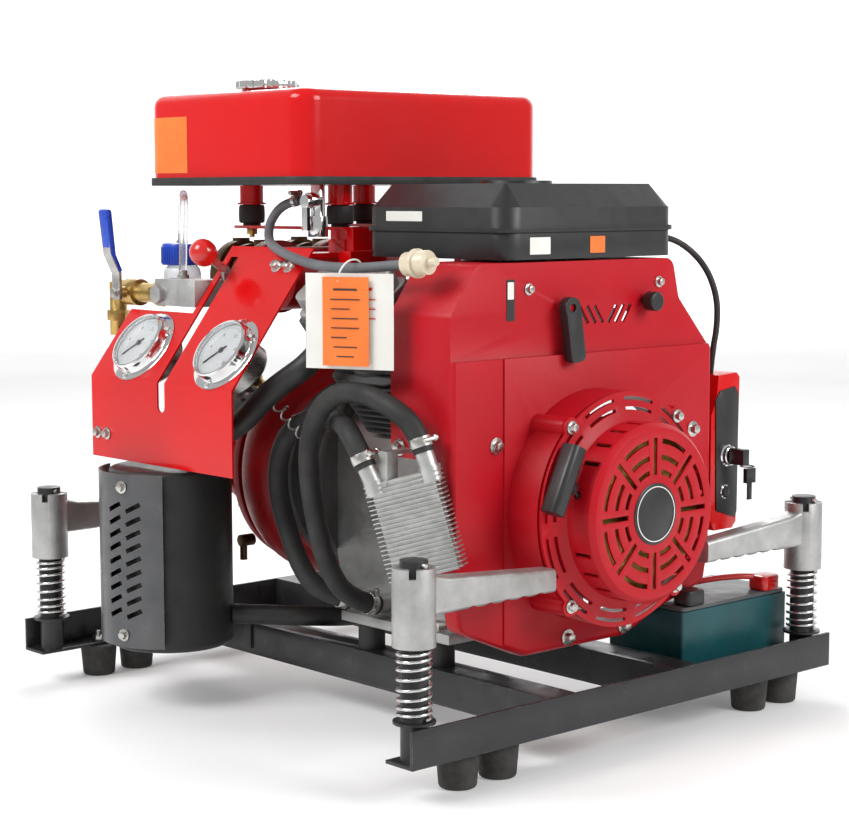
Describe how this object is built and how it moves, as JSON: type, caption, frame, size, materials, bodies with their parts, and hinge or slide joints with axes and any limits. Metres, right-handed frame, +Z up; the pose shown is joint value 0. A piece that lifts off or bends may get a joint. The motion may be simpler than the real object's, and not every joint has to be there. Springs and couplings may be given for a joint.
{
  "type": "portable fire pump",
  "caption": "Portable engine-driven fire pump on a carrying frame with sprung fold-out handles, recoil starter, gauge panel, oil cooler and fuel tank.",
  "frame": {"origin": "centre of the footprint on the ground, under the middle of the carrying frame", "axes": "+Z up, +X along the crank axis towards the recoil starter, -Y towards the gauge panel"},
  "size_m": [0.828, 0.7349, 0.806],
  "materials": {
    "black_paint": "satin black paint",
    "rubber": "matte",
    "cast_aluminium": "as cast, fine grain",
    "spring_steel": "bright zinc",
    "machined_steel": "machined",
    "grey_casting": "dark grey paint",
    "red_paint": "gloss red paint",
    "bronze": "dark bronze",
    "brass": "dull brass",
    "black_plastic": "moulded black",
    "chrome": "polished",
    "grey_rubber": "braided grey",
    "cream_plastic": "cream moulding",
    "blue_plastic": "dipped blue grip",
    "clear_plastic": "translucent",
    "teal_plastic": "dark teal case",
    "card": "printed card",
    "zinc_steel": "zinc plated"
  },
  "bodies": {
    "root": {"base_frame": "black_paint", "rubber_feet": "rubber", "rubber_mounts": "rubber", "crankcase": "cast_aluminium", "cylinders": "cast_aluminium", "main_bearings": "machined_steel", "pump_adapter": "grey_casting", "pump_casing": "red_paint", "outlet_valves": "bronze", "fan_shroud": "red_paint", "recoil_housing": "red_paint", "air_cleaner_base": "black_plastic", "air_cleaner_cover": "black_plastic", "carburettor": "cast_aluminium", "muffler": "black_paint", "muffler_guard": "black_paint", "fuel_tank": "red_paint", "tank_bracket": "red_paint", "fuel_cock": "chrome", "fuel_hose": "grey_rubber", "fuel_filter": "cream_plastic", "gauge_panel": "red_paint", "gauges": "chrome", "primer_pump": "cast_aluminium", "ball_valve": "brass", "oil_bottle": "clear_plastic", "clear_tube": "clear_plastic", "oil_cooler": "cast_aluminium", "oil_hose_front": "rubber", "oil_hose_rear": "rubber", "control_box": "red_paint", "battery": "teal_plastic", "harness_cable": "rubber", "bolts": "zinc_steel"},
    "spring_body_front_right": {"spring_front_right": "spring_steel"},
    "handle_body_front_right": {"handle_front_right": "cast_aluminium"},
    "spring_body_rear_right": {"spring_rear_right": "spring_steel"},
    "handle_body_rear_right": {"handle_rear_right": "cast_aluminium"},
    "spring_body_front_left": {"spring_front_left": "spring_steel"},
    "handle_body_front_left": {"handle_front_left": "cast_aluminium"},
    "spring_body_rear_left": {"spring_rear_left": "spring_steel"},
    "handle_body_rear_left": {"handle_rear_left": "cast_aluminium"},
    "rotor": {"crankshaft": "machined_steel", "flywheel_fan": "machined_steel", "impeller": "bronze"},
    "pull_handle": {"starter_handle": "black_plastic"},
    "reel": {"starter_reel": "brass"},
    "throttle": {"throttle_lever": "black_plastic"},
    "choke": {"choke_knob": "black_plastic"},
    "key": {"ignition_key": "black_plastic"},
    "protector": {"protector_button": "black_plastic"},
    "valve_lever": {"ball_valve_lever": "blue_plastic"},
    "primer": {"priming_lever": "machined_steel"},
    "fuel_cap": {"tank_cap": "chrome"},
    "cock_lever": {"fuel_cock_lever": "chrome"},
    "needle_left_body": {"needle_left": "black_plastic"},
    "needle_right_body": {"needle_right": "black_plastic"},
    "cap_left": {"outlet_cap_left": "bronze"},
    "cap_right": {"outlet_cap_right": "bronze"},
    "tags": {"hang_tags": "card"}
  },
  "joints": [
    {"name": "press_front_right", "type": "slide", "parent": "root", "child": "spring_body_front_right", "axis": [0, 0, -1], "range_m": [0, 0.012], "stiffness_N_per_m": 3000, "springref_m": -0.004, "deforming": ["spring_front_right"]},
    {"name": "swing_front_right", "type": "hinge", "parent": "spring_body_front_right", "child": "handle_body_front_right", "pos_m": [0.37, -0.34, 0.2], "axis": [0, 0, -1], "range_deg": [0, 90]},
    {"name": "press_rear_right", "type": "slide", "parent": "root", "child": "spring_body_rear_right", "axis": [0, 0, -1], "range_m": [0, 0.012], "stiffness_N_per_m": 3000, "springref_m": -0.004, "deforming": ["spring_rear_right"]},
    {"name": "swing_rear_right", "type": "hinge", "parent": "spring_body_rear_right", "child": "handle_body_rear_right", "pos_m": [0.37, 0.34, 0.2], "axis": [0, 0, 1], "range_deg": [0, 90]},
    {"name": "press_front_left", "type": "slide", "parent": "root", "child": "spring_body_front_left", "axis": [0, 0, -1], "range_m": [0, 0.012], "stiffness_N_per_m": 3000, "springref_m": -0.004, "deforming": ["spring_front_left"]},
    {"name": "swing_front_left", "type": "hinge", "parent": "spring_body_front_left", "child": "handle_body_front_left", "pos_m": [-0.37, -0.34, 0.2], "axis": [0, 0, 1], "range_deg": [0, 90]},
    {"name": "press_rear_left", "type": "slide", "parent": "root", "child": "spring_body_rear_left", "axis": [0, 0, -1], "range_m": [0, 0.012], "stiffness_N_per_m": 3000, "springref_m": -0.004, "deforming": ["spring_rear_left"]},
    {"name": "swing_rear_left", "type": "hinge", "parent": "spring_body_rear_left", "child": "handle_body_rear_left", "pos_m": [-0.37, 0.34, 0.2], "axis": [0, 0, -1], "range_deg": [0, 90]},
    {"name": "rotor_spin", "type": "hinge", "parent": "root", "child": "rotor", "pos_m": [0, 0, 0.284], "axis": [1, 0, 0], "continuous": true},
    {"name": "starter_pull", "type": "slide", "parent": "root", "child": "pull_handle", "axis": [0, -0.769, 0.6392], "range_m": [0, 0.16]},
    {"name": "reel_turn", "type": "hinge", "parent": "root", "child": "reel", "pos_m": [0.386, 0, 0.284], "axis": [-1, 0, 0], "range_deg": [0, 215], "stiffness_Nm_per_rad": 0.05, "springref_deg": -85.94},
    {"name": "throttle_turn", "type": "hinge", "parent": "root", "child": "throttle", "pos_m": [0.317, -0.047, 0.524], "axis": [1, 0, 0], "range_deg": [0, 45]},
    {"name": "choke_pull", "type": "slide", "parent": "root", "child": "choke", "axis": [1, 0, 0], "range_m": [0, 0.015]},
    {"name": "key_turn", "type": "hinge", "parent": "root", "child": "key", "pos_m": [0.31, 0.266, 0.319], "axis": [-1, 0, 0], "range_deg": [0, 70]},
    {"name": "protector_press", "type": "slide", "parent": "root", "child": "protector", "axis": [-1, 0, 0], "range_m": [0, 0.003], "stiffness_N_per_m": 400, "springref_m": -0.001},
    {"name": "drain_valve_turn", "type": "hinge", "parent": "root", "child": "valve_lever", "pos_m": [-0.331, -0.24, 0.526], "axis": [0, 1, 0], "range_deg": [0, 90]},
    {"name": "priming_turn", "type": "hinge", "parent": "root", "child": "primer", "pos_m": [-0.146, -0.175, 0.395], "axis": [1, 0, 0], "range_deg": [0, 78]},
    {"name": "cap_lift", "type": "slide", "parent": "root", "child": "fuel_cap", "axis": [0, 0, 1], "range_m": [0, 0.06]},
    {"name": "fuel_cock_turn", "type": "hinge", "parent": "root", "child": "cock_lever", "pos_m": [-0.024, -0.167, 0.648], "axis": [0, -1, 0], "range_deg": [0, 90]},
    {"name": "needle_left_turn", "type": "hinge", "parent": "root", "child": "needle_left_body", "pos_m": [-0.226, -0.2867, 0.4655], "axis": [0, 0.7956, -0.6059], "range_deg": [0, 270], "stiffness_Nm_per_rad": 0.001, "springref_deg": -57.3},
    {"name": "needle_right_turn", "type": "hinge", "parent": "root", "child": "needle_right_body", "pos_m": [-0.046, -0.2867, 0.4655], "axis": [0, 0.7956, -0.6059], "range_deg": [0, 270], "stiffness_Nm_per_rad": 0.001, "springref_deg": -57.3},
    {"name": "outlet_cap_left_pull", "type": "slide", "parent": "root", "child": "cap_left", "axis": [-1, 0, 0], "range_m": [0, 0.04]},
    {"name": "outlet_cap_right_pull", "type": "slide", "parent": "root", "child": "cap_right", "axis": [-1, 0, 0], "range_m": [0, 0.04]},
    {"name": "tags_swing", "type": "hinge", "parent": "root", "child": "tags", "pos_m": [0.158, -0.248, 0.586], "axis": [-0.9063, -0.4226, 0], "range_deg": [0, 20]}
  ],
  "couplings": [
    {"joint": "starter_pull", "follows": "reel_turn", "m_per_rad": 0.0425}
  ]
}
